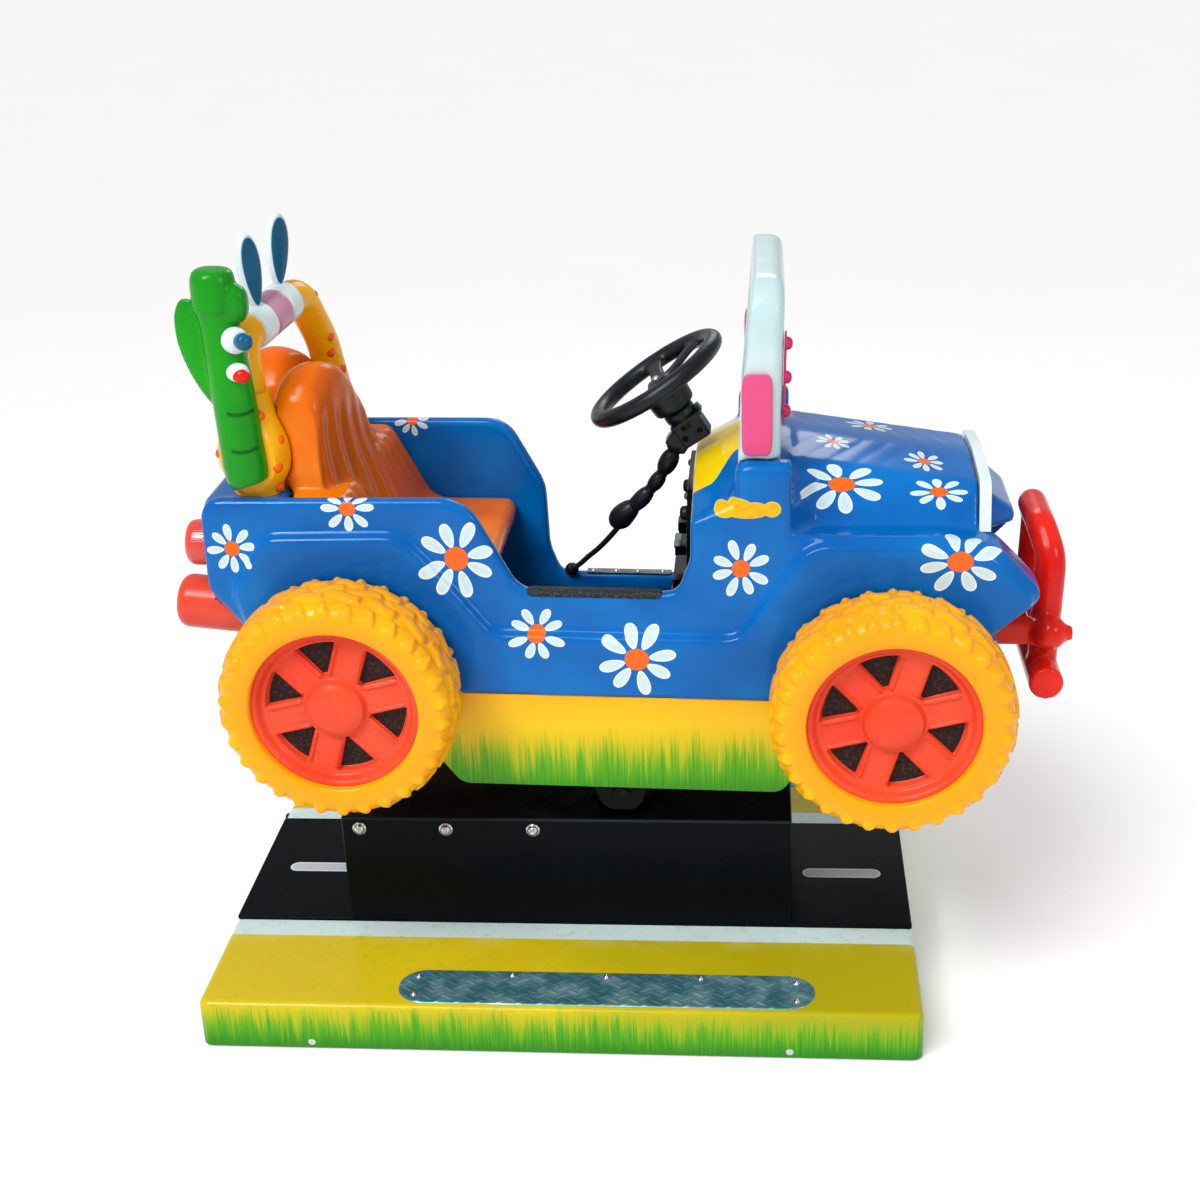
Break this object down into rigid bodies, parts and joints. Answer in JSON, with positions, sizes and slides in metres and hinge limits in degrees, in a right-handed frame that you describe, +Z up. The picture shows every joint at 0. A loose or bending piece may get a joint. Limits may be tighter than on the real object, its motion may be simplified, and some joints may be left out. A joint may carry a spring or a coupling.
{
  "type": "coin-operated ride-on car",
  "caption": "Open toy car body that rocks on a pivot above a flat plinth, with moulded seat, steering wheel, windshield frame and spoked wheels.",
  "frame": {"origin": "on the floor at the centre of the plinth's four anchor holes", "axes": "+X forward along the car, +Y to the car's left, +Z up"},
  "size_m": [1.473, 0.85, 1.3143],
  "materials": {
    "plinth_yellow": "gloss gel coat, yellow running into green",
    "frame_steel": "black paint",
    "road_black": "semi-gloss gel coat",
    "tread_plate": "bright tread plate",
    "black_steel": "semi-gloss black powder coat",
    "motor_iron": "painted casting",
    "body_blue": "gloss gel coat",
    "cap_yellow": "gloss gel coat",
    "pale_white": "gloss gel coat",
    "pale_mint": "gloss gel coat",
    "lamp_lens": "gloss",
    "skirt_green": "gloss gel coat, yellow running into green",
    "black_rubber": "matt",
    "trim_pink": "gloss",
    "seat_orange": "gloss gel coat",
    "figure_green": "gloss gel coat",
    "face_blue": "gloss",
    "red_plastic": "gloss gel coat",
    "rim_red": "gloss gel coat",
    "tyre_yellow": "gloss moulded plastic",
    "black_plastic": "fine grain"
  },
  "bodies": {
    "base": {"base_deck": "plinth_yellow", "base_frame": "frame_steel", "road_strip": "road_black", "step_plates": "tread_plate", "drive_cover": "black_steel", "gearmotor": "motor_iron", "pivot_stand": "frame_steel", "mains_gland": "black_plastic"},
    "car": {"rocker_frame": "frame_steel", "axles": "frame_steel", "body_side_right": "body_blue", "body_side_left": "body_blue", "rear_deck": "body_blue", "cowl": "body_blue", "dash_cap": "cap_yellow", "hood": "body_blue", "grille_frame": "pale_white", "nose_panel": "body_blue", "headlamps": "lamp_lens", "floor_pan": "black_steel", "skirts": "skirt_green", "entry_plate": "tread_plate", "windshield_frame": "pale_mint", "windshield_trim": "trim_pink", "coin_unit": "black_steel", "seat": "seat_orange", "roll_hoop": "cap_yellow", "hoop_collar": "pale_white", "post_figure": "figure_green", "figure_face": "face_blue", "tail_lamps": "red_plastic", "exhausts": "red_plastic", "bull_bar": "red_plastic", "steering_column": "black_plastic", "cable_fittings": "black_plastic", "cable_cord": "black_rubber"},
    "steering": {"steering_wheel": "black_plastic"},
    "wheel_rear_right": {"tyre_rear_right": "tyre_yellow", "rim_rear_right": "rim_red"},
    "wheel_rear_left": {"tyre_rear_left": "tyre_yellow", "rim_rear_left": "rim_red"},
    "wheel_front_right": {"tyre_front_right": "tyre_yellow", "rim_front_right": "rim_red"},
    "wheel_front_left": {"tyre_front_left": "tyre_yellow", "rim_front_left": "rim_red"}
  },
  "joints": [
    {"name": "rock", "type": "hinge", "parent": "base", "child": "car", "pos_m": [0.1, 0, 0.345], "axis": [0, 1, 0], "range_deg": [-5.95, 3.05]},
    {"name": "steer", "type": "hinge", "parent": "car", "child": "steering", "pos_m": [0.16737, 0, 1.03052], "axis": [-0.538, 0, 0.8429], "continuous": true},
    {"name": "spin_rear_right", "type": "hinge", "parent": "car", "child": "wheel_rear_right", "pos_m": [-0.32966, -0.3135, 0.60095], "axis": [0, 1, 0], "continuous": true},
    {"name": "spin_rear_left", "type": "hinge", "parent": "car", "child": "wheel_rear_left", "pos_m": [-0.32966, 0.3135, 0.60095], "axis": [0, 1, 0], "continuous": true},
    {"name": "spin_front_right", "type": "hinge", "parent": "car", "child": "wheel_front_right", "pos_m": [0.54206, -0.3135, 0.57889], "axis": [0, 1, 0], "continuous": true},
    {"name": "spin_front_left", "type": "hinge", "parent": "car", "child": "wheel_front_left", "pos_m": [0.54206, 0.3135, 0.57889], "axis": [0, 1, 0], "continuous": true}
  ]
}
